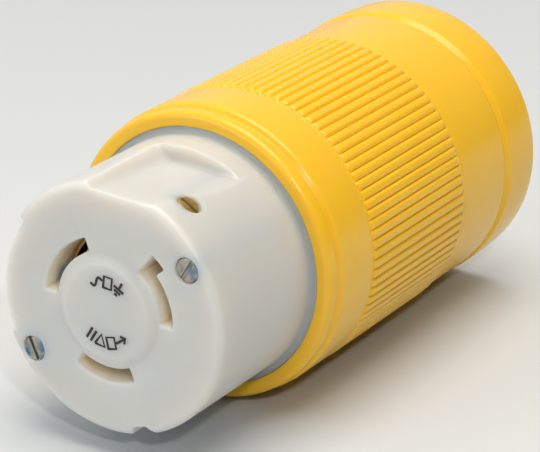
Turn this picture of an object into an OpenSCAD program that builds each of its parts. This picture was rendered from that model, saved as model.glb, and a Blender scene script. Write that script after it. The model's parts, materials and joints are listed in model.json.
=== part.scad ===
// Female end of a 50 A locking shore power cord: a white contact carrier held in a yellow ribbed housing.
// The connector lies on its side. +Y runs from the mating face to the cable entry, and +Z is up.

/* [Overall] */
// Radius of the contact carrier's nose
nose_r = 28.6; // [28.4:0.1:29]
// Length from the mating face to the rear face
total_len = 133.4; // [133:0.1:134]

/* [Contact carrier] */
// Rounding of the face's rim
rim_round = 1.8; // [1:0.1:2]
// Radius of the raised disc in the middle of the face
boss_r = 12.6; // [12.2:0.1:12.8]
// Height of the raised disc above the face
boss_h = 1; // [0.5:0.1:1.1]
// Inner radius of the three curved slots
slot_in_r = 13.2; // [13:0.1:13.4]
// Outer radius of the three curved slots
slot_out_r = 16.4; // [16.3:0.1:16.5]
// Outer radius of the hook at the end of the right-hand slot
hook_r = 19; // [18:0.2:19.4]
// Depth of the hook below the face
hook_depth = 4.3; // [3:0.1:4.6]
// Distance of the flat side pocket's floor from the axis at the face
pocket_front = 26.8; // [26.4:0.1:27.5]
// Distance of the flat side pocket's floor from the axis at its back wall
pocket_back = 24.7; // [24.6:0.1:26]
// Distance from the face to the pocket's back wall
pocket_len = 28; // [26:0.5:30]
// Depth of the wide key recess in the rim
key_recess_len = 6; // [4:0.5:8]
// Length of the small key notch at the bottom of the nose
key_notch_len = 12; // [8:0.5:16]

/* [Housing] */
// Distance from the face to the housing's front lip
lip_s = 35.3; // [34.5:0.1:36]
// Radius of the housing's bore around the carrier
bore_r = 30.2; // [30.2:0.05:30.3]
// Outer radius of the front lip
lip_r = 33.7; // [33.5:0.1:33.9]
// Radius of the smooth band behind the lip
band_r = 34.4; // [34.2:0.05:34.4]
// Number of ribs around the grip
rib_count = 92; // [84:4:100]
// Radius between the ribs
rib_root_r = 33.75; // [33.6:0.05:33.8]
// Radius over the ribs
rib_tip_r = 34.42; // [34.42:0.02:34.5]

/* [Cable clamp] */
// Radius of the cable entry
entry_r = 14.6; // [14:0.1:15]

/* [Hidden] */
$fn = 96;
// Overrun of a cut past the surface it opens
over = 0.5;

nylon = "ivory";
yellow = "gold";
brass = "goldenrod";
steel = "silver";
rubber = "dimgray";

// The connector lies on two rib crests
axis_height = rib_tip_r * cos(180 / rib_count);
face_y = -(total_len - boss_h) / 2;

// Slots, seen from the front: start angle, end angle and the angle of the slot's terminal
LINE = [-1, 53, 59];
NEUTRAL = [110, 174, 179];
GROUND = [-121, -67, -61];
SLOTS = [LINE, NEUTRAL, GROUND];
HOOK = [41, 52];

// Carrier: stations behind the face, and the places of its pockets, keys and screws
boss_round = 1.2;
carrier_back = 38;
pocket_angle = 86;
pocket_wall_angle = 35;
pocket_wall_x = 11.9;
KEY_RECESS = [143.5, 203];
key_recess_r = 26.7;
key_notch_angle = -73;
RETAINERS = [89, 269];
retainer_ring_r = 22;
retainer_start = 30;

// Chambers behind the slots, with their contacts and terminals
leaf = 0.6;
leaf_in = slot_in_r + 0.4;
leaf_out = slot_out_r - 0.8;
leaf_start = 8.5;
leaf_end = 27;
terminal_s = 10;
terminal_hole_r = 3.1;
terminal_screw_r = 2.45;
block_w = 8;
block_in = 16.35;
block_out = 24.4;
block_start = terminal_s - 4.5;
block_end = terminal_s + 5.5;
block_wall = 1.1;
wire_r = 19.8;
wire_hole_r = 3.4;

// Screws through the face
SCREW_TURNS = [0, 180];
assembly_angle = 34;
assembly_ring_r = 24.2;
assembly_head_r = 2.75;
assembly_shank_r = 1.92;
assembly_end = 63;
head_start = 0.4;
head_end = 3.2;
washer_end = 4;
sink_end = 4.2;
screw_slot_w = 0.9;

// Insulator behind the carrier, with the flange that the housing's lip traps
flange_r = 30;
seal_s = 46;
seal_groove_w = 1.6;
seal_r = 0.7;
seat_s = 52.4;

// Housing
chamber_r = 28.5;
grip_start = 54;
grip_end = 96.3;
neck_r = 33.9;
crease_s = 118.4;
boss_end = 66;

// Rear cap and cable clamp
cap_r = 34.4;
cap_round = 2.3;
spigot_s = 108;
spigot_r = 30.9;
cavity_r = 28.2;
wall_s = 127.4;
guide_w = 2.5;
grommet_r = 16.4;
grommet_flange_r = 18.4;
CLAMP_SIDES = [90, -90];
clamp_ring_r = 23.6;
clamp_shank_r = 1.9;
clamp_head_r = 3.4;
wedge_slope = 0.5;
wedge_start = 109;
wedge_len = 8;
jaw_start = 109.2;
jaw_end = 126.8;
jaw_top = 16.95;
jaw_bore_r = 15;

// Points of a circular arc in the profile plane, [radius, distance from the face]
function arc(r, s, size, from, to, steps) =
    [for (i = [0:steps]) let (a = from + (to - from) * i / steps) [r + size * cos(a), s + size * sin(a)]];

// The local frame has the face at z = 0 seen from +z, x to the right and y up
module lying() translate([0, face_y, axis_height]) rotate([90, 0, 0]) children();
// Turned solid from a profile in [radius, distance from the face]
module turned(profile) rotate_extrude() polygon([for (p = profile) [p[0], -p[1]]]);
// Round bar along the axis, from s0 to s1 behind the face
module bar(r, s0, s1) translate([0, 0, -s1]) cylinder(r = r, h = s1 - s0);
// Part of a ring between two radii, two angles and two distances from the face
module sector(r0, r1, a0, a1, s0, s1) translate([0, 0, -s1])
    rotate([0, 0, a0]) rotate_extrude(angle = a1 - a0) translate([r0, 0]) square([r1 - r0, s1 - s0]);
// Rectangular block whose x is the radial direction at angle a
module radial_box(a, r0, r1, w, s0, s1)
    rotate([0, 0, a]) translate([r0, -w / 2, -s1]) cube([r1 - r0, w, s1 - s0]);
// Round bar along the radial direction at angle a
module radial_bar(a, r, r0, r1, s) rotate([0, 0, a]) translate([r0, 0, -s]) rotate([0, 90, 0])
    cylinder(r = r, h = r1 - r0);
// Children moved to a radius at an angle
module at_ring(r, a) rotate([0, 0, a]) translate([r, 0, 0]) children();
// Screwdriver slot cut across a head that starts at s0
module driver_slot(s0, w, depth) translate([-5, -w / 2, -s0 - depth]) cube([10, w, depth + 1]);

// ---- white contact carrier ----

module contact_chamber(slot) {
    sector(slot_in_r, slot_out_r, slot[0], slot[1], -3, leaf_start);
    end = carrier_back + over;
    sector(slot_in_r - 0.3, slot_out_r + 0.2, slot[0] - 1.5, slot[2] + 11, leaf_start - over, end);
    radial_box(slot[2], block_in - 0.2, block_out + 0.3, block_w + 0.6, block_start - 0.2, end);
    radial_bar(slot[2], terminal_hole_r, block_out, nose_r + 2, terminal_s);
}

// Flat pocket beside the first terminal screw: its floor falls slightly towards the back wall
module side_pocket() {
    fall = atan((pocket_front - pocket_back) / pocket_len);
    intersection() {
        rotate([0, 0, pocket_angle]) translate([pocket_front, 0, 0]) rotate([0, fall, 0])
            translate([0, -30, -60]) cube([20, 60, 70]);
        rotate([0, 0, pocket_wall_angle]) translate([pocket_wall_x, 0, -pocket_len])
            cube([40, 40, pocket_len + 5]);
    }
}

// Wide key recess on the left and the small key notch at the bottom of the face's rim
module rim_keys() {
    sector(key_recess_r, nose_r + 3, KEY_RECESS[0], KEY_RECESS[1], -1, key_recess_len);
    rotate([0, 0, key_notch_angle]) translate([0, 0, -key_notch_len]) linear_extrude(key_notch_len + 1)
        polygon([[26.4, -1.6], [26.4, 1.6], [29.6, 5], [29.6, -5]]);
}

module contact_carrier() lying() color(nylon) difference() {
    turned(concat(
        [[0, -boss_h], [boss_r - boss_round, -boss_h]],
        arc(boss_r - boss_round, boss_round - boss_h, boss_round, -90, 0, 3),
        [[boss_r, 0], [nose_r - rim_round, 0]],
        arc(nose_r - rim_round, rim_round, rim_round, -90, 0, 4),
        [[nose_r, carrier_back], [0, carrier_back]]));
    for (slot = SLOTS) contact_chamber(slot);
    sector(slot_out_r - over, hook_r, HOOK[0], HOOK[1], -1, hook_depth);
    side_pocket();
    rim_keys();
    for (turn = SCREW_TURNS) at_ring(assembly_ring_r, assembly_angle + turn) {
        bar(assembly_shank_r + 0.2, -1, carrier_back + over);
        bar(assembly_head_r + 0.2, -1, sink_end);
    }
    for (a = RETAINERS) at_ring(retainer_ring_r, a) bar(1.55, retainer_start - over, carrier_back + over);
}

// ---- insulator with the flange, its seal and its two screws ----

module rear_insulator() lying() color("whitesmoke") difference() {
    turned([[0, carrier_back], [flange_r, carrier_back],
        [flange_r, seal_s - seal_groove_w / 2], [flange_r - 1.5, seal_s - seal_groove_w / 2],
        [flange_r - 1.5, seal_s + seal_groove_w / 2], [flange_r, seal_s + seal_groove_w / 2],
        [flange_r, seat_s - 0.1], [0, seat_s - 0.1]]);
    for (slot = SLOTS) at_ring(wire_r, slot[2]) bar(wire_hole_r, carrier_back - 1, seat_s + 1);
    for (turn = SCREW_TURNS) at_ring(assembly_ring_r, assembly_angle + turn)
        bar(assembly_shank_r + 0.3, carrier_back - 1, seat_s + 1);
    for (a = RETAINERS) at_ring(retainer_ring_r, a) bar(1.6, carrier_back - 1, seat_s + 1);
}

module retainer_screws() lying() color(steel) for (a = RETAINERS) at_ring(retainer_ring_r, a) {
    bar(1.45, retainer_start, seat_s);
    difference() {
        bar(2.6, seat_s, seat_s + 1.7);
        translate([-3, -0.4, -seat_s - 3]) cube([6, 0.8, 2]);
    }
}

module carrier_seal() lying() color(rubber)
    translate([0, 0, -seal_s]) rotate_extrude() translate([flange_r - 0.6, 0]) circle(r = seal_r, $fn = 24);

// ---- contacts and terminals ----

// Two spring leaves that grip a curved blade, joined behind it; the outer leaf reaches its terminal block
module contact(slot) lying() color(brass) {
    sector(leaf_in, leaf_in + leaf, slot[0] - 0.5, slot[1] + 0.5, leaf_start + 0.5, leaf_end);
    sector(leaf_out, leaf_out + leaf, slot[0] - 0.5, slot[2] + 9, leaf_start + 0.5, leaf_end);
    sector(leaf_in, leaf_out + leaf, slot[0] - 0.5, slot[1] + 0.5, leaf_end - 0.1, leaf_end + 1.2);
}

module terminal_block(slot) lying() color(brass) difference() {
    radial_box(slot[2], block_in, block_out, block_w, block_start, block_end);
    radial_box(slot[2], 17.2, 22.9, block_w - 2 * block_wall, block_start - 1, block_end + 1);
    radial_bar(slot[2], terminal_screw_r + 0.05, 20, 26, terminal_s);
}

module pressure_plate(slot) lying() color(steel)
    radial_box(slot[2], 22, 22.7, 5.2, terminal_s - 3.5, terminal_s + 3.5);

module terminal_screw(slot) lying() color(brass) difference() {
    radial_bar(slot[2], terminal_screw_r, 22.75, 27.2, terminal_s);
    radial_box(slot[2], 26.1, 28, 6, terminal_s - 0.4, terminal_s + 0.4);
}

// ---- screws through the face ----

module assembly_screw(turn, slot_turn) lying() color(steel) at_ring(assembly_ring_r, assembly_angle + turn)
    difference() {
        union() {
            bar(assembly_head_r, head_start, head_end);
            bar(assembly_shank_r, head_end - 0.1, assembly_end);
        }
        rotate([0, 0, slot_turn]) driver_slot(head_start, screw_slot_w, 1.1);
    }

module screw_washer(turn) lying() color(steel) at_ring(assembly_ring_r, assembly_angle + turn) difference() {
    bar(2.7, head_end + 0.1, washer_end);
    bar(assembly_shank_r + 0.13, head_end, sink_end);
}

module thread_inserts() lying() color(brass)
    for (turn = SCREW_TURNS) at_ring(assembly_ring_r, assembly_angle + turn) difference() {
        bar(3, seat_s + 0.2, boss_end - 2);
        bar(assembly_shank_r + 0.06, seat_s - 2, boss_end);
    }

// ---- yellow housing ----

// Star-shaped bar whose points are the ribs: its hollows lie below the housing's own surface
module ribs() {
    pitch = 360 / rib_count;
    steps = [rib_tip_r, rib_tip_r - 0.25, rib_root_r - 0.4, rib_tip_r - 0.25];
    places = [0.5, 0.72, 1, 1.28];
    points = [for (i = [0:rib_count - 1], k = [0:3])
        let (a = (i + places[k]) * pitch) [steps[k] * cos(a), steps[k] * sin(a)]];
    translate([0, 0, -grip_end]) linear_extrude(grip_end - grip_start) polygon(points);
}

module housing() lying() color(yellow) difference() {
    union() {
        turned(concat(
            [[chamber_r - 4, lip_s + 3], [bore_r, lip_s + 3], [bore_r, lip_s + 0.6], [bore_r + 0.6, lip_s],
             [lip_r - 2.4, lip_s]],
            arc(lip_r - 2.4, lip_s + 2.4, 2.4, -90, 0, 5),
            [[lip_r, lip_s + 3.1], [lip_r - 0.55, lip_s + 3.9]],
            arc(band_r - 1.6, lip_s + 5.9, 1.6, -60, 0, 4),
            [[band_r, grip_start - 4], [rib_root_r, grip_start - 0.3], [rib_root_r, grip_end + 0.5],
             [neck_r - 0.1, grip_end + 1.5], [neck_r, crease_s - 0.1], [chamber_r - 4, crease_s - 0.1]]));
        ribs();
    }
    bar(bore_r, lip_s - 1, seat_s);
    bar(chamber_r, seat_s - 1, spigot_s + 1);
    bar(spigot_r + 0.1, spigot_s, crease_s + 1);
}

// The housing with the bosses that hold the thread inserts
module housing_with_bosses() {
    housing();
    lying() color(yellow) for (turn = SCREW_TURNS) at_ring(assembly_ring_r, assembly_angle + turn)
        difference() {
            union() {
                bar(4.3, seat_s, boss_end);
                translate([2, -4.3, -boss_end]) cube([2.6, 8.6, boss_end - seat_s]);
            }
            bar(3.05, seat_s - 1, boss_end - 1.8);
        }
}

// ---- rear cap and cable clamp ----

module rear_cap() lying() color(yellow) difference() {
    turned(concat(
        [[10, spigot_s + 0.2], [spigot_r, spigot_s + 0.2], [spigot_r, crease_s],
         [neck_r, crease_s], [cap_r, crease_s + 1], [cap_r, total_len - 5]],
        arc(cap_r - 0.3 - cap_round, total_len - cap_round, cap_round, 0, 90, 6),
        [[10, total_len]]));
    difference() {
        bar(cavity_r, spigot_s - 1, wall_s);
        for (side = [-1, 1], x = [-10.4 - guide_w, 10.4]) translate([x, side > 0 ? 15 : -28, -wall_s - 1])
            cube([guide_w, 13, wall_s - spigot_s - 1]);
    }
    bar(grommet_r + 0.1, spigot_s - 1, total_len + 1);
    bar(grommet_flange_r + 0.2, wall_s - 1, wall_s + 1.6);
    for (a = CLAMP_SIDES) at_ring(clamp_ring_r, a) {
        bar(clamp_shank_r + 0.2, wall_s - 5, total_len + 1);
        bar(clamp_head_r + 0.3, total_len - 3, total_len + 1);
    }
}

module cord_grommet() lying() color(rubber) difference() {
    union() {
        bar(grommet_r, wall_s + 0.1, total_len);
        bar(grommet_flange_r, wall_s + 0.1, wall_s + 1.5);
    }
    bar(entry_r, wall_s - 1, total_len + 1);
}

// Turns the upper clamp's frame to the lower one
module clamp_side(side) rotate([0, 0, side > 0 ? 0 : 180]) children();

// A wedge profile drawn in [distance from the face, height], extruded across x
module wedge(w, points) rotate([0, 90, 0]) translate([0, 0, -w / 2]) linear_extrude(w) polygon(points);

module clamp_jaw(side) lying() color("lightgray") clamp_side(side) difference() {
    front_top = jaw_top + wedge_slope * (jaw_start - wedge_start);
    back_top = jaw_top + wedge_slope * (jaw_end - wedge_start);
    wedge(20, [[jaw_start, 8], [jaw_end, 8], [jaw_end, back_top], [jaw_start, front_top]]);
    bar(jaw_bore_r, 100, 130);
    translate([-2.4, 21.3, -130]) cube([4.8, 10, 30]);
}

module wedge_nut(side) lying() color(steel) clamp_side(side) difference() {
    foot = jaw_top + 0.25;
    wedge(9, [[wedge_start, foot], [wedge_start + wedge_len, foot + wedge_slope * wedge_len],
        [wedge_start + wedge_len, 27.3], [wedge_start, 27.3]]);
    translate([0, clamp_ring_r, 0]) bar(clamp_shank_r + 0.05, 100, 120);
}

module clamp_screw(side) lying() color(steel) at_ring(clamp_ring_r, 90 * side) difference() {
    union() {
        bar(clamp_head_r, total_len - 2.8, total_len - 0.4);
        bar(clamp_shank_r, 107.6, total_len - 2.7);
    }
    translate([-4, -0.5, -(total_len + 0.1)]) cube([8, 1, 1.6]);
}

contact_carrier();
rear_insulator();
retainer_screws();
carrier_seal();
contact(LINE);  // contact_line
contact(NEUTRAL);  // contact_neutral
contact(GROUND);  // contact_ground
terminal_block(LINE);  // terminal_block_line
terminal_block(NEUTRAL);  // terminal_block_neutral
terminal_block(GROUND);  // terminal_block_ground
pressure_plate(LINE);  // pressure_plate_line
pressure_plate(NEUTRAL);  // pressure_plate_neutral
pressure_plate(GROUND);  // pressure_plate_ground
terminal_screw(LINE);  // terminal_screw_line
terminal_screw(NEUTRAL);  // terminal_screw_neutral
terminal_screw(GROUND);  // terminal_screw_ground
assembly_screw(0, -92);  // assembly_screw_right
assembly_screw(180, -148);  // assembly_screw_left
screw_washer(0);  // screw_washer_right
screw_washer(180);  // screw_washer_left
thread_inserts();
housing_with_bosses();  // housing
rear_cap();
cord_grommet();
clamp_jaw(1);  // clamp_jaw_upper
clamp_jaw(-1);  // clamp_jaw_lower
wedge_nut(1);  // wedge_nut_upper
wedge_nut(-1);  // wedge_nut_lower
clamp_screw(1);  // clamp_screw_upper
clamp_screw(-1);  // clamp_screw_lower
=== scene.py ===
"""Looks of a female locking shore power connector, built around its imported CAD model.

Shapes are made in millimetres in the connector's own frame: x to the right seen from the front, s behind the
mating face and z up from the axis. finished() moves each piece into the row frame in metres.
"""
import json
import math

import bmesh
import bpy
from mathutils import Matrix, Vector


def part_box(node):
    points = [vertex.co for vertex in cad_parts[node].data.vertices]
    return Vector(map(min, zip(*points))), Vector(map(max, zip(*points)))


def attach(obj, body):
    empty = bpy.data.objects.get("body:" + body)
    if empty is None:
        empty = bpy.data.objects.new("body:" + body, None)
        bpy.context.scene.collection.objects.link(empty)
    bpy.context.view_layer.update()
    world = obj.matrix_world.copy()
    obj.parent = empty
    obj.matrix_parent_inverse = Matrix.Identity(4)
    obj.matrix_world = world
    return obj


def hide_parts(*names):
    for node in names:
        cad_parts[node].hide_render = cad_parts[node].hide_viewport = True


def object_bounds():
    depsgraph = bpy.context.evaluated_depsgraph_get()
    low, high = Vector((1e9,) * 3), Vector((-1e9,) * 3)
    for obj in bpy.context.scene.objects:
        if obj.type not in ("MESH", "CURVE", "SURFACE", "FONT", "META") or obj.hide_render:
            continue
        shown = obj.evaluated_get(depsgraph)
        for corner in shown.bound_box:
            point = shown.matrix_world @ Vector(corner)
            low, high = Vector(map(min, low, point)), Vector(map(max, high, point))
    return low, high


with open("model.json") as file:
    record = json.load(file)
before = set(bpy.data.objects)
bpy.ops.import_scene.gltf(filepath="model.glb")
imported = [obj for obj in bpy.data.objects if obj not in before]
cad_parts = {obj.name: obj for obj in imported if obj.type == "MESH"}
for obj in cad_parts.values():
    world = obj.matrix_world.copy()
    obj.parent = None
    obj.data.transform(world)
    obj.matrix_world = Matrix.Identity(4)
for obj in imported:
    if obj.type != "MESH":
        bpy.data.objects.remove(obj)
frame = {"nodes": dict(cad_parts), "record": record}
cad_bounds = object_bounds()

MM = 0.001
SHARP = math.radians(34)

# ---- places taken from the frame ----

carrier_low, carrier_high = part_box("contact_carrier")
cap_low, cap_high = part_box("rear_cap")
housing_low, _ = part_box("housing")
BOSS_H = 1.0
FACE_Y = carrier_low.y + BOSS_H * MM
AXIS_Z = (cap_low.z + cap_high.z) / 2
TO_ROW = Matrix.Translation((0, FACE_Y, AXIS_Z)) @ Matrix.Scale(MM, 4)


def depth(y):
    """Distance behind the mating face of a row-frame y, in millimetres."""
    return (y - FACE_Y) / MM


TOTAL = depth(cap_high.y)
CARRIER_BACK = depth(carrier_high.y)
LIP_S = depth(housing_low.y)
NOSE_R = (carrier_high.x - carrier_low.x) / 2 / MM
RIB_TIP = 34.42
RIB_ROOT = 33.78
RIB_COUNT = 92
GRIP_START = 54.0
GRIP_END = 96.3
CREASE = 118.4
NECK_R = 33.9
BAND_R = 34.3
CHAMBER_R = 28.5
BORE_R = 30.2
SEAT_S = 52.4
SEAT_R = 31.0
CABLE_R = 14.7

# Slots seen from the front: start angle, end angle and terminal angle, in degrees
SLOTS = {"line": (-1, 53, 59), "neutral": (110, 174, 179), "ground": (-121, -67, -61)}
SLOT_IN, SLOT_OUT = 13.2, 16.4
SLOT_DEPTH = 9.0
SLOT_FILLET = 0.35
HOOK_OUT, HOOK_START, HOOK_DEPTH = 19.0, 41, 4.3
KEY_R, KEY_FIRST, KEY_LAST, KEY_DEPTH = 26.7, 143.5, 203, 6
NOTCH_R, NOTCH_ANGLE, NOTCH_DEPTH = 26.4, -73, 12
DISC_R, DISC_RISE = 10.2, 0.96
TERMINAL_S = 10.0
TERMINAL_HOLE_R = 2.8
SCREW_TOP = 27.8
SCREW_RING, SCREW_ANGLE = 24.2, 34
CLAMP_RING = 23.6


# ---- points and outlines ----

def polar(r, angle, s):
    """Point at a radius and an angle in degrees, s behind the face."""
    a = math.radians(angle)
    return Vector((r * math.cos(a), s, r * math.sin(a)))


def rounded(corners, steps=6, closed=True):
    """Outline with its corners, (x, y, radius), replaced by arcs."""
    out = []
    count = len(corners)
    for i, (x, y, radius) in enumerate(corners):
        here = Vector((x, y))
        if radius <= 0 or (not closed and i in (0, count - 1)):
            out.append(here)
            continue
        back = Vector(corners[i - 1][:2]) - here
        ahead = Vector(corners[(i + 1) % count][:2]) - here
        half = back.angle(ahead) / 2
        reach = min(radius / math.tan(half), 0.49 * back.length, 0.49 * ahead.length)
        first = here + back.normalized() * reach
        last = here + ahead.normalized() * reach
        centre = here + (back.normalized() + ahead.normalized()).normalized() * (reach / math.cos(half))
        u, v = first - centre, last - centre
        turn = math.atan2(u.x * v.y - u.y * v.x, u.dot(v))
        for k in range(steps + 1):
            out.append(centre + Matrix.Rotation(turn * k / steps, 2) @ u)
    return out


def finer(outline, longest):
    """The outline with its long sides divided."""
    out = []
    for i, p in enumerate(outline):
        q = outline[(i + 1) % len(outline)]
        pieces = max(1, math.ceil((q - p).length / longest))
        out += [p.lerp(q, k / pieces) for k in range(pieces)]
    return out


def slot_outline(corners, fillet, offset=0.0):
    """Outline of a slot between circles and radial lines: corners are (r, angle), offset grows it outwards.
    It is rounded as if unrolled at the slots' middle radius. Points are (x, z)."""
    middle = (SLOT_IN + SLOT_OUT) / 2
    flat = [Vector((r, math.radians(a) * middle)) for r, a in corners]
    area = sum(p.x * q.y - q.x * p.y for p, q in zip(flat, flat[1:] + flat[:1]))
    grown = []
    for i, p in enumerate(flat):
        moved = Vector(p)
        for q, ahead in ((flat[i - 1], False), (flat[(i + 1) % len(flat)], True)):
            along = (q - p if ahead else p - q).normalized()
            outward = Vector((along.y, -along.x)) * (1 if area > 0 else -1)
            moved += outward * offset
        before, after = p - flat[i - 1], flat[(i + 1) % len(flat)] - p
        convex = (before.x * after.y - before.y * after.x) * area > 0
        grown.append((moved.x, moved.y, max(0.06, fillet + (offset if convex else -offset))))
    unrolled = finer(rounded(grown, 5), 0.7)
    return [(p.x * math.cos(p.y / middle), p.x * math.sin(p.y / middle)) for p in unrolled]


def flare(radius, steps=5):
    """Depths below the face and offsets of a rounded mouth, from the face down."""
    angles = [k / steps * math.pi / 2 for k in range(steps + 1)]
    return [(radius * (1 - math.cos(angle)), radius * (1 - math.sin(angle))) for angle in angles]


# ---- solids ----

def solid(name, verts, faces):
    """Object of the faces, its normals pointing outwards."""
    mesh = bpy.data.meshes.new(name)
    mesh.from_pydata([tuple(v) for v in verts], [], faces)
    obj = bpy.data.objects.new(name, mesh)
    bpy.context.scene.collection.objects.link(obj)
    bm = bmesh.new()
    bm.from_mesh(mesh)
    bmesh.ops.recalc_face_normals(bm, faces=bm.faces)
    bm.to_mesh(mesh)
    bm.free()
    return obj


def turning(origin, direction):
    """Two unit vectors square to direction, and direction itself."""
    along = Vector(direction).normalized()
    side = Vector((0, 0, 1)) if abs(along.z) < 0.9 else Vector((1, 0, 0))
    u = side.cross(along).normalized()
    return Vector(origin), u, along.cross(u), along


def lathe(name, profile, segments, origin=(0, 0, 0), direction=(0, 1, 0), closed=True, radius_at=None):
    """Turned solid. profile holds (radius, distance along direction), and an open one starts and ends on the
    axis. radius_at(index, radius, angle) may change a radius."""
    start, u, v, along = turning(origin, direction)
    verts, rows = [], []
    for i, (r, t) in enumerate(profile):
        if r < 1e-6:
            rows.append([len(verts)])
            verts.append(start + along * t)
            continue
        rows.append(list(range(len(verts), len(verts) + segments)))
        for k in range(segments):
            angle = 2 * math.pi * k / segments
            radius = radius_at(i, r, angle) if radius_at else r
            verts.append(start + along * t + (u * math.cos(angle) + v * math.sin(angle)) * radius)
    faces = []
    pairs = list(zip(rows, rows[1:])) + ([(rows[-1], rows[0])] if closed else [])
    for low, high in pairs:
        for k in range(segments):
            n = (k + 1) % segments
            if len(low) == 1:
                faces.append((low[0], high[n], high[k]))
            elif len(high) == 1:
                faces.append((low[k], low[n], high[0]))
            else:
                faces.append((low[k], low[n], high[n], high[k]))
    return solid(name, verts, faces)


def loft(name, rings):
    """Solid through rings of equal length, closed at both ends."""
    n = len(rings[0])
    verts = [p for ring in rings for p in ring]
    faces = [tuple(range(n)), tuple(range(len(verts) - n, len(verts)))]
    for low in range(0, len(verts) - n, n):
        high = low + n
        faces += [(low + k, low + (k + 1) % n, high + (k + 1) % n, high + k) for k in range(n)]
    return solid(name, verts, faces)


def block(name, low, high, turn=0.0, bevel=0.0):
    """Box between two corners (x, s, z), turned about the axis by an angle in degrees, with rounded edges."""
    bm = bmesh.new()
    bmesh.ops.create_cube(bm, size=1)
    low, high = Vector(low), Vector(high)
    size = high - low
    for v in bm.verts:
        v.co = Vector(((v.co.x + 0.5) * size.x, (v.co.y + 0.5) * size.y, (v.co.z + 0.5) * size.z)) + low
    if bevel:
        bmesh.ops.bevel(bm, geom=bm.edges[:], offset=bevel, segments=4, profile=0.5, affect="EDGES")
    bmesh.ops.rotate(bm, verts=bm.verts, cent=(0, 0, 0), matrix=Matrix.Rotation(-math.radians(turn), 3, "Y"))
    bmesh.ops.recalc_face_normals(bm, faces=bm.faces)
    mesh = bpy.data.meshes.new(name)
    bm.to_mesh(mesh)
    bm.free()
    obj = bpy.data.objects.new(name, mesh)
    bpy.context.scene.collection.objects.link(obj)
    return obj


def applied(obj):
    """The object with its modifiers made part of its mesh."""
    bpy.context.view_layer.update()
    mesh = bpy.data.meshes.new_from_object(obj.evaluated_get(bpy.context.evaluated_depsgraph_get()))
    obj.modifiers.clear()
    obj.data = mesh
    return obj


def combined(obj, others, operation):
    """The object joined with or cut by the others, which are then gone."""
    for other in others:
        modifier = obj.modifiers.new("with", "BOOLEAN")
        modifier.operation = operation
        modifier.solver = "MANIFOLD"
        modifier.object = other
    applied(obj)
    for other in others:
        bpy.data.objects.remove(other)
    return obj


def cut(obj, *others):
    return combined(obj, others, "DIFFERENCE")


def joined(obj, *others):
    return combined(obj, others, "UNION")


def finished(obj, material, body, slot, *nodes, sharp=SHARP):
    """Moves the solid into the row frame, shades it, gives it its material and body, and hides the nodes that
    it replaces. slot is not used."""
    obj.data.transform(TO_ROW)
    bm = bmesh.new()
    bm.from_mesh(obj.data)
    bmesh.ops.remove_doubles(bm, verts=bm.verts, dist=1e-6)
    bmesh.ops.recalc_face_normals(bm, faces=bm.faces)
    for face in bm.faces:
        face.smooth = True
    for edge in bm.edges:
        edge.smooth = not (edge.is_manifold and edge.calc_face_angle() > sharp)
    bm.to_mesh(obj.data)
    bm.free()
    obj.data.materials.clear()
    obj.data.materials.append(material)
    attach(obj, body)
    if nodes:
        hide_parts(*nodes)
    return obj


# ---- materials ----

def shader(name, **sockets):
    """A Principled material with its node tree, and the values of its plain sockets."""
    material = bpy.data.materials.new(name)
    material.use_nodes = True
    bsdf = material.node_tree.nodes["Principled BSDF"]
    for key, value in sockets.items():
        bsdf.inputs[key.replace("_", " ")].default_value = value
    return material, material.node_tree, bsdf


def noise(tree, scale, detail=3.0, stretch=(1, 1, 1)):
    """Noise in object coordinates: scale is features per metre."""
    place = tree.nodes.new("ShaderNodeTexCoord")
    mapping = tree.nodes.new("ShaderNodeMapping")
    mapping.inputs["Scale"].default_value = stretch
    texture = tree.nodes.new("ShaderNodeTexNoise")
    texture.inputs["Scale"].default_value = scale
    texture.inputs["Detail"].default_value = detail
    tree.links.new(place.outputs["Object"], mapping.inputs["Vector"])
    tree.links.new(mapping.outputs["Vector"], texture.inputs["Vector"])
    return texture.outputs["Fac"]


def shades(tree, factor, first, second, low=0.35, high=0.65):
    """Colour that goes from first to second as factor goes from low to high."""
    ramp = tree.nodes.new("ShaderNodeValToRGB")
    ramp.color_ramp.elements[0].position = low
    ramp.color_ramp.elements[0].color = (*first, 1)
    ramp.color_ramp.elements[1].position = high
    ramp.color_ramp.elements[1].color = (*second, 1)
    tree.links.new(factor, ramp.inputs["Fac"])
    return ramp.outputs["Color"]


def spread(tree, factor, low, high):
    """factor, from 0.3 to 0.7, as a number from low to high."""
    scale = tree.nodes.new("ShaderNodeMapRange")
    scale.inputs["From Min"].default_value = 0.3
    scale.inputs["From Max"].default_value = 0.7
    scale.inputs["To Min"].default_value = low
    scale.inputs["To Max"].default_value = high
    tree.links.new(factor, scale.inputs["Value"])
    return scale.outputs["Result"]


def bumped(tree, bsdf, height, distance):
    """Gives the shader a relief of the height's pattern, distance deep in metres."""
    bump = tree.nodes.new("ShaderNodeBump")
    bump.inputs["Distance"].default_value = distance
    tree.links.new(height, bump.inputs["Height"])
    tree.links.new(bump.outputs["Normal"], bsdf.inputs["Normal"])


def moulded(name, first, second, rough, peel, **sockets):
    """Moulded plastic or rubber: clouded colour, uneven gloss and a fine moulded grain of depth peel."""
    material, tree, bsdf = shader(name, **sockets)
    tree.links.new(shades(tree, noise(tree, 55, 4), first, second), bsdf.inputs["Base Color"])
    tree.links.new(spread(tree, noise(tree, 210, 5), *rough), bsdf.inputs["Roughness"])
    bumped(tree, bsdf, noise(tree, 1500, 4), peel)
    return material


def metal(name, first, second, rough, stretch):
    """Turned or rolled metal: colour clouded between two tones (stains on brass and steel, painted blue
    reflections on the assembly screws' steel) and fine marks stretched along one way.
    """
    material, tree, bsdf = shader(name, Metallic=1.0)
    tree.links.new(shades(tree, noise(tree, 420, 5), first, second), bsdf.inputs["Base Color"])
    tree.links.new(spread(tree, noise(tree, 900, 6, stretch), *rough), bsdf.inputs["Roughness"])
    bumped(tree, bsdf, noise(tree, 2600, 3, stretch), 2e-5)
    return material


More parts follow.
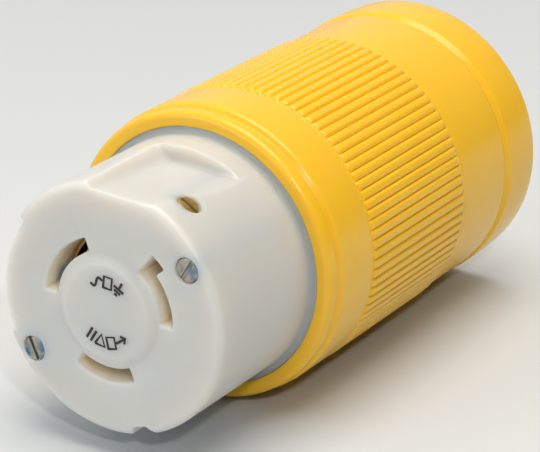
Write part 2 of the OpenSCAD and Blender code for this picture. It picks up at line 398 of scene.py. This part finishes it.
def painted_crease_light(material):
    """Paints a deeper yellow along concave lines, where light bounces between their walls: painted bounce
    light.
    """
    tree = material.node_tree
    socket = tree.nodes["Principled BSDF"].inputs["Base Color"]
    shape = tree.nodes.new("ShaderNodeNewGeometry")
    scale = tree.nodes.new("ShaderNodeMapRange")
    scale.inputs["From Min"].default_value = 0.497
    scale.inputs["From Max"].default_value = 0.47
    tree.links.new(shape.outputs["Pointiness"], scale.inputs["Value"])
    mix = tree.nodes.new("ShaderNodeMix")
    mix.data_type = "RGBA"
    tree.links.new(socket.links[0].from_socket, mix.inputs[6])
    # Deep amber of the painted bounce light in the concave lines
    mix.inputs[7].default_value = (0.95, 0.56, 0.0, 1)
    tree.links.new(scale.outputs["Result"], mix.inputs[0])
    tree.links.new(mix.outputs[2], socket)


def soft_edges(material, radius):
    """Shades the edges as if rounded to the radius."""
    tree = material.node_tree
    edge = tree.nodes.new("ShaderNodeBevel")
    edge.inputs["Radius"].default_value = radius
    bump = next(node for node in tree.nodes if node.type == "BUMP")
    tree.links.new(edge.outputs["Normal"], bump.inputs["Normal"])


def painted_slot_glow(material):
    """Paints the nylon behind the face lighter and warmer between the slots' inner and outer radii: a painted
    glow for light that passes through the nylon into the slots.
    """
    tree = material.node_tree
    bsdf = tree.nodes["Principled BSDF"]
    place = tree.nodes.new("ShaderNodeTexCoord")
    centred = tree.nodes.new("ShaderNodeVectorMath")
    centred.operation = "SUBTRACT"
    centred.inputs[1].default_value = (0, FACE_Y, AXIS_Z)
    tree.links.new(place.outputs["Object"], centred.inputs[0])
    split = tree.nodes.new("ShaderNodeSeparateXYZ")
    tree.links.new(centred.outputs[0], split.inputs["Vector"])
    flat = tree.nodes.new("ShaderNodeCombineXYZ")
    tree.links.new(split.outputs["X"], flat.inputs["X"])
    tree.links.new(split.outputs["Z"], flat.inputs["Z"])
    radius = tree.nodes.new("ShaderNodeVectorMath")
    radius.operation = "LENGTH"
    tree.links.new(flat.outputs["Vector"], radius.inputs[0])

    def ramp(value, start, end):
        """0 at start and 1 at end."""
        scale = tree.nodes.new("ShaderNodeMapRange")
        scale.inputs["From Min"].default_value = start
        scale.inputs["From Max"].default_value = end
        tree.links.new(value, scale.inputs["Value"])
        return scale.outputs["Result"]

    glow_mask = ramp(split.outputs["Y"], 0.1 * MM, 1.6 * MM)
    inside, outside = (SLOT_IN - 0.4) * MM, (HOOK_OUT + 0.3) * MM
    for start, end in ((inside, inside + 0.3 * MM), (outside, outside - 0.3 * MM)):
        times = tree.nodes.new("ShaderNodeMath")
        times.operation = "MULTIPLY"
        tree.links.new(glow_mask, times.inputs[0])
        tree.links.new(ramp(radius.outputs["Value"], start, end), times.inputs[1])
        glow_mask = times.outputs[0]
    mix = tree.nodes.new("ShaderNodeMix")
    mix.data_type = "RGBA"
    socket = bsdf.inputs["Base Color"]
    tree.links.new(socket.links[0].from_socket, mix.inputs[6])
    # Lighter, warmer colour of the painted glow in the slots
    mix.inputs[7].default_value = (0.86, 0.79, 0.68, 1)
    tree.links.new(glow_mask, mix.inputs[0])
    tree.links.new(mix.outputs[2], socket)
    return material


WHITE = moulded(
    "white_nylon", (0.62, 0.615, 0.585), (0.635, 0.63, 0.60), (0.29, 0.34), 3e-7,
    Subsurface_Weight=1.0, Subsurface_Radius=(1.0, 0.75, 0.55), Subsurface_Scale=0.010, IOR=1.53,
)
# Painted glow of light through the nylon in the slots
painted_slot_glow(WHITE)
soft_edges(WHITE, 0.8 * MM)
YELLOW = moulded(
    "yellow_nylon", (0.915, 0.535, 0.026), (0.935, 0.55, 0.032), (0.20, 0.25), 4e-7,
    Subsurface_Weight=0.35, Subsurface_Radius=(1.0, 0.45, 0.08), Subsurface_Scale=0.002, IOR=1.46,
)
# Painted bounce light along the yellow's creases
painted_crease_light(YELLOW)
GREY = moulded("grey_nylon", (0.15, 0.155, 0.16), (0.19, 0.195, 0.20), (0.42, 0.55), 3e-6)
RUBBER = moulded("black_rubber", (0.012, 0.012, 0.013), (0.022, 0.022, 0.023), (0.55, 0.75), 8e-6)
INK = moulded("black_ink", (0.008, 0.008, 0.008), (0.016, 0.015, 0.015), (0.35, 0.5), 2e-6)
BRASS = metal("brass", (0.42, 0.29, 0.09), (0.62, 0.47, 0.20), (0.25, 0.45), (1, 6, 1))
STEEL = metal("steel", (0.50, 0.53, 0.56), (0.68, 0.70, 0.72), (0.18, 0.38), (6, 1, 1))
# Steel with blue patches in its colour: painted blue reflections on the assembly screws
STEEL_PAINTED_REFLECTIONS = metal("steel_painted_reflections", (0.01, 0.15, 0.27), (0.44, 0.39, 0.33), (0.25, 0.45), (6, 1, 1))

FINISHES = {
    "brass": BRASS, "steel": STEEL, "black_rubber": RUBBER, "yellow_nylon": YELLOW, "grey_nylon": GREY,
}
slots = {row["node"]: row["material_slot"] for row in frame["record"]["subparts"]}
for name, obj in frame["nodes"].items():
    obj.data.materials.clear()
    obj.data.materials.append(FINISHES.get(slots.get(name), WHITE))


# ---- white contact carrier ----

def slot_ring(corners, fillet, s, offset=0.0):
    return [Vector((x, s, z)) for x, z in slot_outline(corners, fillet, offset)]


def slot_cutter(name, corners, bottom, mouth=0.55):
    """Cutter of a slot with a rounded mouth."""
    rings = [(-3, mouth)] + flare(mouth) + [(bottom, 0)]
    return loft(name, [slot_ring(corners, SLOT_FILLET, s, offset) for s, offset in rings])


def chamber_cutters(name, first, terminal):
    """Space behind a slot: a wide curved room, a square one for the terminal block, and the screw's hole."""
    end = CARRIER_BACK + 1
    room = [(SLOT_IN - 0.3, first - 1.5), (SLOT_OUT + 0.2, first - 1.5), (SLOT_OUT + 0.2, terminal + 11),
            (SLOT_IN - 0.3, terminal + 11)]
    yield loft(name + "_room", [slot_ring(room, 0.4, s) for s in (SLOT_DEPTH - 0.5, end)])
    yield block(name + "_box", (16.6, 5.2, -4.3), (24.7, end, 4.3), terminal)
    mouth = 0.4
    hole = [(0, 22), (TERMINAL_HOLE_R, 22), (TERMINAL_HOLE_R, NOSE_R - 0.9)]
    hole += [(TERMINAL_HOLE_R + offset, NOSE_R - mouth - down) for down, offset in reversed(flare(mouth))]
    hole += [(TERMINAL_HOLE_R + mouth, NOSE_R + 4), (0, NOSE_R + 4)]
    yield lathe(name + "_hole", hole, 64, (0, TERMINAL_S, 0), polar(1, terminal, 0), closed=False)


def screw_cutter(name, angle):
    """Counterbore and clearance hole of an assembly screw."""
    sink_r, hole_r, sink_end = 2.95, 2.12, 4.2
    mouth = [(sink_r + offset, down) for down, offset in flare(0.25)]
    profile = [(0, -2), (3.2, -2)] + mouth + [(sink_r, sink_end), (hole_r, sink_end), (hole_r, 40), (0, 40)]
    return lathe(name, profile, 64, polar(SCREW_RING, angle, 0), closed=False)


def pocket_cutter():
    """Flat side pocket: its floor falls towards the back wall, and its inner corners are rounded."""
    front, back, length, wall_x = 26.8, 24.7, 28.0, 11.9
    turn, wall_turn = math.radians(86), math.radians(35)
    out = Vector((math.cos(turn), 0, math.sin(turn)))
    across = Vector((-math.sin(turn), 0, math.cos(turn)))
    wall = Vector((math.cos(wall_turn), 0, math.sin(wall_turn)))
    rings = []
    for s in (-6.0, length):
        floor = front + (back - front) * s / length
        # Where the floor meets the left wall, measured along the floor
        left = (wall_x - out.dot(wall) * floor) / across.dot(wall)
        low_left, low_right = out * floor + across * left, out * floor - across * 26
        slope = across * math.sin(turn - wall_turn) + out * math.cos(turn - wall_turn)
        high_left = low_left + slope.normalized() * 12
        rings.append([p + Vector((0, s, 0)) for p in (low_left, high_left, low_right + out * 12, low_right)])
    cutter = loft("pocket", rings)
    bm = bmesh.new()
    bm.from_mesh(cutter.data)
    bmesh.ops.bevel(bm, geom=bm.edges[:], offset=1.3, segments=5, profile=0.5, affect="EDGES")
    bm.to_mesh(cutter.data)
    bm.free()
    return cutter


def carrier():
    """Body of the carrier, and the cutters of its slots, chambers, screw holes and pocket."""
    steps = 12
    foot = [k / steps for k in range(steps + 1)]
    disc = [(DISC_R + 2.8 * t, -DISC_RISE * (0.5 + 0.5 * math.cos(math.pi * t))) for t in foot]
    rim = rounded([
        (13.1, 0, 0), (NOSE_R, 0, 1.8), (NOSE_R, LIP_S + 0.4, 1.2), (BORE_R - 0.05, LIP_S + 0.4, 0.1),
        (BORE_R - 0.05, CARRIER_BACK, 0), (0, CARRIER_BACK, 0)], 9, closed=False)
    profile = [(0, -DISC_RISE)] + disc + rim
    body = lathe("contact_carrier_shell", profile, 288, closed=False)
    cutters = []
    for name, (first, last, terminal) in SLOTS.items():
        if name == "line":
            # The hook is shallower than the slot that it ends
            corners = [(SLOT_IN, first), (SLOT_OUT, first), (SLOT_OUT, HOOK_START), (HOOK_OUT, HOOK_START),
                       (HOOK_OUT, last - 0.6), (SLOT_IN, last - 0.2)]
            cutters.append(slot_cutter("hook", corners, HOOK_DEPTH))
        corners = [(SLOT_IN, first), (SLOT_OUT, first), (SLOT_OUT, last), (SLOT_IN, last)]
        if name == "line":
            cutters.append(loft("deep", [slot_ring(corners, SLOT_FILLET, s) for s in (3, SLOT_DEPTH)]))
        else:
            cutters.append(slot_cutter(name + "_slot", corners, SLOT_DEPTH))
        cutters += chamber_cutters(name, first, terminal)
    for turn in (0, 180):
        cutters.append(screw_cutter("screw_hole", SCREW_ANGLE + turn))
    cutters.append(pocket_cutter())
    return body, cutters


def key_cutters():
    """Wide key recess on the left of the rim, the small notch at its bottom and a mould mark on the face."""
    steps = 30
    angles = [KEY_FIRST + (KEY_LAST - KEY_FIRST) * k / steps for k in range(steps + 1)]
    ring = [polar(KEY_R, angle, 0) for angle in angles] + [polar(32, angle, 0) for angle in reversed(angles)]
    yield loft("key_recess", [[p + Vector((0, s, 0)) for p in ring] for s in (-2, KEY_DEPTH)])
    out, side = polar(1, NOTCH_ANGLE, 0), polar(1, NOTCH_ANGLE + 90, 0)
    corners = rounded([(NOTCH_R, -1.6, 0.8), (NOTCH_R, 1.6, 0.8), (29.6, 5, 0), (29.6, -5, 0)], 5)
    notch = [out * p.x + side * p.y for p in corners]
    yield loft("key_notch", [[p + Vector((0, s, 0)) for p in notch] for s in (-2, NOTCH_DEPTH)])
    dimple = [(0, -1), (0.5, -1), (0.5, -0.05), (0.3, 0.12), (0, 0.16)]
    yield lathe("mould_mark", dimple, 24, polar(18.6, 115, 0), closed=False)


body, cutters = carrier()
cut(body, *cutters, *key_cutters())
finished(body, WHITE, "shell", "white_nylon", "contact_carrier", sharp=math.radians(38))


# ---- printed symbols on the disc ----

def stroke(points, width, low, high):
    """Two rings of a raised line of even width through (x, z) points, at s = high and s = low."""
    left, right = [], []
    for i, p in enumerate(points):
        along = (points[min(i + 1, len(points) - 1)] - points[max(i - 1, 0)]).normalized()
        side = Vector((-along.y, along.x)) * width / 2
        left.append(p + side)
        right.append(p - side)
    outline = left + right[::-1]
    return [[Vector((p.x, s, p.y)) for p in outline] for s in (high, low)]


def symbol_lines(kind):
    """Lines of a small generic symbol about 3 mm high, drawn around (0, 0)."""
    if kind == "wave":
        return [[Vector((x / 10 * 1.5, 0.75 * math.sin(x / 10 * math.pi))) for x in range(-10, 11)]]
    if kind == "earth":
        bars = [[Vector((-w, y)), Vector((w, y))] for w, y in ((1.3, -0.1), (0.85, -0.8), (0.4, -1.5))]
        return bars + [[Vector((0, 1.6)), Vector((0, -0.1))]]
    if kind == "bars":
        return [[Vector((x, -1.4)), Vector((x, 1.4))] for x in (-0.55, 0.55)]
    if kind == "arrow":
        head = [Vector((0.35, 0.85)), Vector((1.3, 0)), Vector((0.35, -0.85))]
        return [[Vector((-1.4, 0)), Vector((1.2, 0))], head]
    if kind == "peak":
        return [[Vector((-1.2, -1.1)), Vector((0, 1.3)), Vector((1.2, -1.1)), Vector((-1.2, -1.1))]]
    corners = ((-0.95, -1.2), (0.95, -1.2), (0.95, 1.2), (-0.95, 1.2), (-0.95, -1.4))
    return [[Vector(corner) for corner in corners]]


def symbols():
    """One solid for each line of the symbols, standing a little proud of the disc."""
    rings = []
    low, high = -BOSS_H, -BOSS_H + 0.06
    size, width = 1.08, 0.6
    for kind, radius, angle, upright in (
        ("wave", 7.0, 107, 90), ("frame", 7.0, 83, 90), ("earth", 7.2, 59, 90),
        ("bars", 6.8, -122, -90), ("peak", 6.8, -101, -90), ("frame", 6.9, -78, -90),
        ("arrow", 6.9, -55, -90),
    ):
        turn = Matrix.Rotation(math.radians(angle - upright), 2)
        centre = polar(radius, angle, 0)
        for line in symbol_lines(kind):
            moved = [turn @ p * size + Vector((centre.x, centre.z)) for p in line]
            rings.append(stroke(moved, width, low, high))
    return [loft("rating_symbols", pair) for pair in rings]


marks = symbols()
finished(joined(marks[0], *marks[1:]), INK, "shell", "black_rubber")


# ---- yellow housing ----

def rib_height(angle):
    """1 on a rib's crest and 0 in the valleys beside it, one of which runs straight down."""
    return 1 - (1 - abs(math.sin(angle * RIB_COUNT / 2))) ** 2.6


def housing():
    """Turned shell with its ribs, and the two bosses that hold the thread inserts."""
    lip_r, groove_r, step_s = 33.7, 32.85, 108
    corners = [
        (BORE_R, SEAT_S, 0.15), (BORE_R, LIP_S, 0.55), (lip_r, LIP_S, 2.3), (lip_r, LIP_S + 3.2, 0.6),
        (groove_r, LIP_S + 3.95, 0.35), (BAND_R, LIP_S + 5.0, 1.4), (BAND_R, 52.9, 0.7),
        (33.5, 53.5, 0.2), (RIB_ROOT, 53.8, 0.1),
        (RIB_ROOT, GRIP_END + 0.45, 0.12), (NECK_R, GRIP_END + 0.95, 0.25), (NECK_R, 117.3, 0.8),
        (33.3, CREASE - 0.2, 0.15), (33.0, CREASE - 0.1, 0.1), (SEAT_R, CREASE - 0.1, 0.2),
        (SEAT_R, step_s, 0.15), (CHAMBER_R, step_s, 0.2), (CHAMBER_R, SEAT_S, 0.2)]
    profile = rounded(corners, 5)
    at = next(i for i, p in enumerate(profile) if abs(p.x - RIB_ROOT) < 1e-3 and p.y < 60)
    stations = [54.0, 54.15, 54.4, 54.8, 55.4, 60, 66, 72, 78, 84, 90, 94.4, 95.0, 95.5, 95.9, 96.2, 96.35]
    profile[at + 1:at + 1] = [Vector((RIB_ROOT, s)) for s in stations]
    profile = [(p.x, p.y) for p in profile]

    def radius_at(index, radius, angle):
        """Raises the ribs between the grip's ends, where they round off."""
        s = profile[index][1]
        if not (GRIP_START < s < GRIP_END and abs(radius - RIB_ROOT) < 1e-3):
            return radius
        front = min(1, (s - GRIP_START) / 1.4)
        rear = min(1, (GRIP_END + 0.05 - s) / 1.9)
        rise = math.sqrt(1 - (1 - front) ** 2) * math.sqrt(1 - (1 - rear) ** 2)
        return max(RIB_ROOT, RIB_ROOT + (RIB_TIP - RIB_ROOT) * (rib_height(angle) - (1 - rise)))

    shell = lathe("housing_shell", profile, RIB_COUNT * 8, radius_at=radius_at)
    bosses = []
    ring = [(3.05, 51.0), (4.3, 51.0), (4.3, 65.6), (3.9, 66), (3.3, 66), (3.05, 65.7)]
    for turn in (0, 180):
        bosses.append(lathe("boss", ring, 48, polar(SCREW_RING, SCREW_ANGLE + turn, 0)))
    return shell, bosses


shell, bosses = housing()
for boss in bosses:
    joined(shell, boss)
finished(shell, YELLOW, "shell", "yellow_nylon", "housing", sharp=math.radians(50))


# ---- rear cap ----

def rear_cap():
    """Turned cap, the guides of the clamp jaws inside it, and the cutters of the clamp screws' holes."""
    spigot_r, room_r, entry_r, recess_r = 30.9, 28.2, 16.5, 18.6
    front, room_end, recess_end = 108.2, 127.4, 129
    sunk = TOTAL - 0.35
    profile = rounded([
        (spigot_r, front, 0.3), (spigot_r, CREASE, 0.1), (33.0, CREASE, 0.1), (33.3, CREASE + 0.1, 0.15),
        (BAND_R, CREASE + 1.4, 0.9), (BAND_R, 127, 3), (34.05, TOTAL, 2.5), (30.5, TOTAL, 0.4),
        (30.1, sunk, 0.3), (19.2, sunk, 0.3), (18.8, TOTAL, 0.4), (entry_r, TOTAL, 0.3),
        (entry_r, recess_end, 0.05), (recess_r, recess_end, 0.1), (recess_r, room_end, 0.1),
        (room_r, room_end, 0.8), (room_r, front, 0.2)], 7)
    cap = lathe("rear_cap_shell", [(p.x, p.y) for p in profile], 288)
    holes = []
    head_r, shank_r, head_end, mouth_r = 3.75, 2.15, TOTAL - 3, 0.3
    for angle in (90, -90):
        mouth = [(head_r + offset, sunk - down) for down, offset in flare(mouth_r)]
        hole = [(0, 120), (shank_r, 120), (shank_r, head_end), (head_r, head_end)] + mouth[::-1]
        hole += [(head_r + mouth_r, 140), (0, 140)]
        holes.append(lathe("clamp_hole", hole, 64, polar(CLAMP_RING, angle, 0), closed=False))
    guides = []
    inner, outer = 15.2, 28.5
    for x in (-12.9, 10.4):
        for low, high in ((inner, outer), (-outer, -inner)):
            guides.append(block("guide", (x, front + 0.4, low), (x + 2.5, room_end + 0.2, high), bevel=0.3))
    return cap, guides, holes


cap, guides, holes = rear_cap()
for guide in guides:
    joined(cap, guide)
cut(cap, *holes)
finished(cap, YELLOW, "shell", "yellow_nylon", "rear_cap")


# ---- cord grommet ----

def grommet():
    """Rubber ring with two inner lips that close on the cable."""
    outer_r, flange_r, groove_r = 16.4, 18.4, 15.3
    profile = rounded([
        (outer_r, 129, 0.1), (outer_r, TOTAL - 0.1, 0.8), (15.0, TOTAL - 0.1, 0.5), (CABLE_R, 131.9, 0.4),
        (groove_r, 131.4, 0.3), (groove_r, 130.6, 0.3), (CABLE_R, 130.1, 0.4), (15.2, 129.4, 0.3),
        (15.2, 128.6, 0.3), (CABLE_R, 127.5, 0.3), (flange_r, 127.5, 0.3), (flange_r, 128.9, 0.3)], 4)
    return lathe("cord_grommet_ring", [(p.x, p.y) for p in profile], 160)


finished(grommet(), RUBBER, "shell", "black_rubber", "cord_grommet")


# ---- screws ----

def screw(name, shank_r, head, tip, pitch, origin, direction, groove, groove_turn, threaded):
    """Slotted screw along direction: a head (radius, height), a shank to tip, and a thread over its last
    part. groove holds the width and the depth of the driver's slot."""
    head_r, head_h = head
    outline = [(0, 0, 0), (head_r, 0, 0.3), (head_r, head_h, 0.12), (shank_r, head_h, 0.1)]
    rows = rounded(outline, 4, closed=False)
    rows = [(p.x, p.y) for p in rows]
    start = max(head_h + 0.2, tip - threaded)
    rows += [(shank_r, start - 0.1)]
    first = len(rows)
    count = int((tip - 0.5 - start) / (pitch / 6))
    rows += [(shank_r, start + (tip - 0.5 - start) * k / count) for k in range(count + 1)]
    last = len(rows)
    rows += [(shank_r * 0.72, tip), (0, tip)]
    depth_of_thread = 0.11 * shank_r

    def radius_at(index, r, angle):
        """Cuts the thread's helix into the rows between first and last, shallower at both ends."""
        if not first <= index < last:
            return r
        fade = min(1, (index - first) / 8, (last - 1 - index) / 8 + 0.3)
        turn = (rows[index][1] / pitch - angle / (2 * math.pi)) % 1
        return r - fade * depth_of_thread * min(1, 2.6 * abs(turn - 0.5)) if turn else r

    body = lathe(name, rows, 40, origin, direction, closed=False, radius_at=radius_at)
    width, deep = groove
    start_at, u, v, along = turning(origin, direction)
    angle = math.radians(groove_turn)
    run = u * math.cos(angle) + v * math.sin(angle)
    side = along.cross(run)
    half, chamfer, reach = width / 2, 0.08, head_r + 1
    rings = []
    for t, w in ((-1, half + chamfer), (0, half + chamfer), (0.12, half), (deep, half)):
        corners = ((reach, w), (reach, -w), (-reach, -w), (-reach, w))
        rings.append([start_at + along * t + run * x + side * y for x, y in corners])
    return cut(body, loft("groove", rings))


for name, turn, slot_turn in (("right", 0, -58), ("left", 180, 66)):
    node = "assembly_screw_" + name
    piece = screw(node + "_body", shank_r=1.9, head=(2.75, 2.8), tip=62.6, pitch=0.8,
                  origin=polar(SCREW_RING, SCREW_ANGLE + turn, 0.4), direction=(0, 1, 0),
                  groove=(0.8, 0.5), groove_turn=slot_turn, threaded=26)
    # Assembly screws in steel with painted blue reflections
    finished(piece, STEEL_PAINTED_REFLECTIONS, node, "steel", node)

for name, (_, _, terminal) in SLOTS.items():
    node = "terminal_screw_" + name
    piece = screw(node + "_body", shank_r=2.3, head=(2.42, 0.9), tip=SCREW_TOP - 22.8, pitch=0.8,
                  origin=polar(SCREW_TOP, terminal, TERMINAL_S), direction=-polar(1, terminal, 0),
                  groove=(0.75, 0.6), groove_turn=90, threaded=3)
    finished(piece, BRASS, node, "brass", node)

for name, angle, slot_turn in (("upper", 90, 25), ("lower", -90, -40)):
    node = "clamp_screw_" + name
    piece = screw(node + "_body", shank_r=1.9, head=(3.4, 2.4), tip=25.3, pitch=0.75,
                  origin=polar(CLAMP_RING, angle, TOTAL - 0.4), direction=(0, -1, 0),
                  groove=(1.0, 1.1), groove_turn=slot_turn, threaded=16)
    finished(piece, STEEL, node, "steel", node)


# ---- washers, jaws and wedge nuts ----

for name, turn in (("right", 0), ("left", 180)):
    bore, edge = 2.05, 2.7
    profile = rounded([(bore, 3.3, 0.1), (edge, 3.3, 0.15), (edge, 4, 0.15), (bore, 4, 0.1)], 3)
    ring = lathe("screw_washer_" + name + "_ring", [(p.x, p.y) for p in profile], 48,
                 polar(SCREW_RING, SCREW_ANGLE + turn, 0))
    finished(ring, STEEL, "washer_" + name, "steel", "screw_washer_" + name)


def facing(body, side):
    """The body as built above the cable, or turned below it."""
    if side < 0:
        body.data.transform(Matrix.Rotation(math.pi, 4, "Y"))
    return body


def bar_along_x(name, profile, half_width):
    """Bar with the (s, z) profile, centred across x."""
    return loft(name, [[Vector((x, p.x, p.y)) for p in profile] for x in (-half_width, half_width)])


def jaw(name, side):
    """Clamp jaw: a wedge-backed block with a toothed round seat for the cable."""
    first, last, seat_r, tooth, tooth_pitch = 109.2, 126.8, 15.0, 0.6, 2.2
    profile = rounded([(first, 8.4, 0.5), (last, 8.4, 0.5), (last, 25.8, 0.7), (first, 17.0, 0.7)], 4)
    body = bar_along_x(name, profile, 9.6)
    teeth = []
    s = first - 0.6
    while s < last + 1:
        teeth += [(seat_r, s), (seat_r + tooth, s + tooth_pitch / 2)]
        s += tooth_pitch
    seat = [(0, first - 3), (seat_r, first - 3)] + teeth + [(seat_r, last + 3), (0, last + 3)]
    cut(body, lathe("seat", seat, 96, closed=False),
        block("way", (-2.4, 100, 21.3), (2.4, 135, 31), bevel=0.3))
    return facing(body, side)


def wedge_nut(name, side):
    """Nut with a sloping foot that presses on its jaw, bored for the clamp screw."""
    first, last, foot, top = 109, 117, 17.2, 27.3
    profile = rounded([(first, foot, 0.3), (last, foot + 4, 0.3), (last, top, 0.6), (first, top, 0.6)], 4)
    body = bar_along_x(name, profile, 4.5)
    bore = [(0, 100), (1.95, 100), (1.95, 125), (0, 125)]
    cut(body, lathe("bore", bore, 40, (0, 0, CLAMP_RING), closed=False))
    return facing(body, side)


for name, side in (("upper", 1), ("lower", -1)):
    node = "clamp_jaw_" + name
    finished(jaw(node + "_block", side), GREY, node, "grey_nylon", node)
    node = "wedge_nut_" + name
    finished(wedge_nut(node + "_block", side), STEEL, node, "steel", node)


# ---- floor, light and camera ----

def floor():
    material, tree, bsdf = shader("floor", Roughness=0.9)
    colour = shades(tree, noise(tree, 3, 2), (0.60, 0.63, 0.66), (0.62, 0.65, 0.68))
    tree.links.new(colour, bsdf.inputs["Base Color"])
    plane = solid("floor", [(x, y, 0) for x, y in ((-4, -4), (4, -4), (4, 4), (-4, 4))], [(0, 1, 2, 3)])
    plane.data.materials.append(material)


def sky(tree):
    """Cool near the horizon and warm overhead, bright on the left and dim on the right."""
    place = tree.nodes.new("ShaderNodeTexCoord")
    split = tree.nodes.new("ShaderNodeSeparateXYZ")
    tree.links.new(place.outputs["Generated"], split.inputs["Vector"])
    colour = shades(tree, split.outputs["Z"], (0.58, 0.72, 0.83), (1.0, 0.965, 0.91), 0.0, 0.8)
    tree.links.new(colour, tree.nodes["Background"].inputs["Color"])
    across = tree.nodes.new("ShaderNodeMapRange")
    across.inputs["From Min"].default_value = -0.5
    across.inputs["From Max"].default_value = 0.6
    across.inputs["To Min"].default_value = 0.78
    across.inputs["To Max"].default_value = 0.02
    tree.links.new(split.outputs["X"], across.inputs["Value"])
    tree.links.new(across.outputs["Result"], tree.nodes["Background"].inputs["Strength"])


def area_light(name, place, size, power, colour, target=(0, 0, 0.03)):
    light = bpy.data.lights.new(name, "AREA")
    light.shape = "RECTANGLE"
    light.size, light.size_y = size
    light.energy = power
    light.color = colour
    obj = bpy.data.objects.new(name, light)
    obj.location = place
    obj.rotation_euler = (Vector(target) - Vector(place)).to_track_quat("-Z", "Y").to_euler()
    bpy.context.scene.collection.objects.link(obj)


def camera():
    """Long lens in front of the connector, above it and to its right, aimed near its middle."""
    azimuth, elevation, distance = math.radians(31.877), math.radians(21.75), 0.6103
    middle = (Vector(cad_bounds[0]) + Vector(cad_bounds[1])) / 2
    back = Vector((math.sin(azimuth) * math.cos(elevation), -math.cos(azimuth) * math.cos(elevation),
                   math.sin(elevation)))
    target = Vector((0, middle.y - 0.00085, middle.z - 0.0031))
    lens = bpy.data.cameras.new("camera")
    lens.lens, lens.sensor_width = 175.78, 36
    lens.shift_x, lens.shift_y = -0.0014, 0.0028
    obj = bpy.data.objects.new("camera", lens)
    obj.location = target + back * distance
    obj.rotation_euler = (-back).to_track_quat("-Z", "Y").to_euler()
    bpy.context.scene.collection.objects.link(obj)
    bpy.context.scene.camera = obj


floor()
world = bpy.data.worlds.new("studio")
world.use_nodes = True
sky(world.node_tree)
bpy.context.scene.world = world
bpy.context.scene.view_settings.view_transform = "Standard"
area_light("key", (0.15, -0.05, 1.15), (0.9, 0.9), 13, (1.0, 0.93, 0.84))
area_light("flash", (0.64, -0.74, 0.70), (0.06, 0.06), 3.0, (1.0, 0.97, 0.94))
area_light("fill", (-0.5, -1.0, 0.3), (0.6, 0.4), 1.7, (0.84, 0.94, 1.0))
camera()
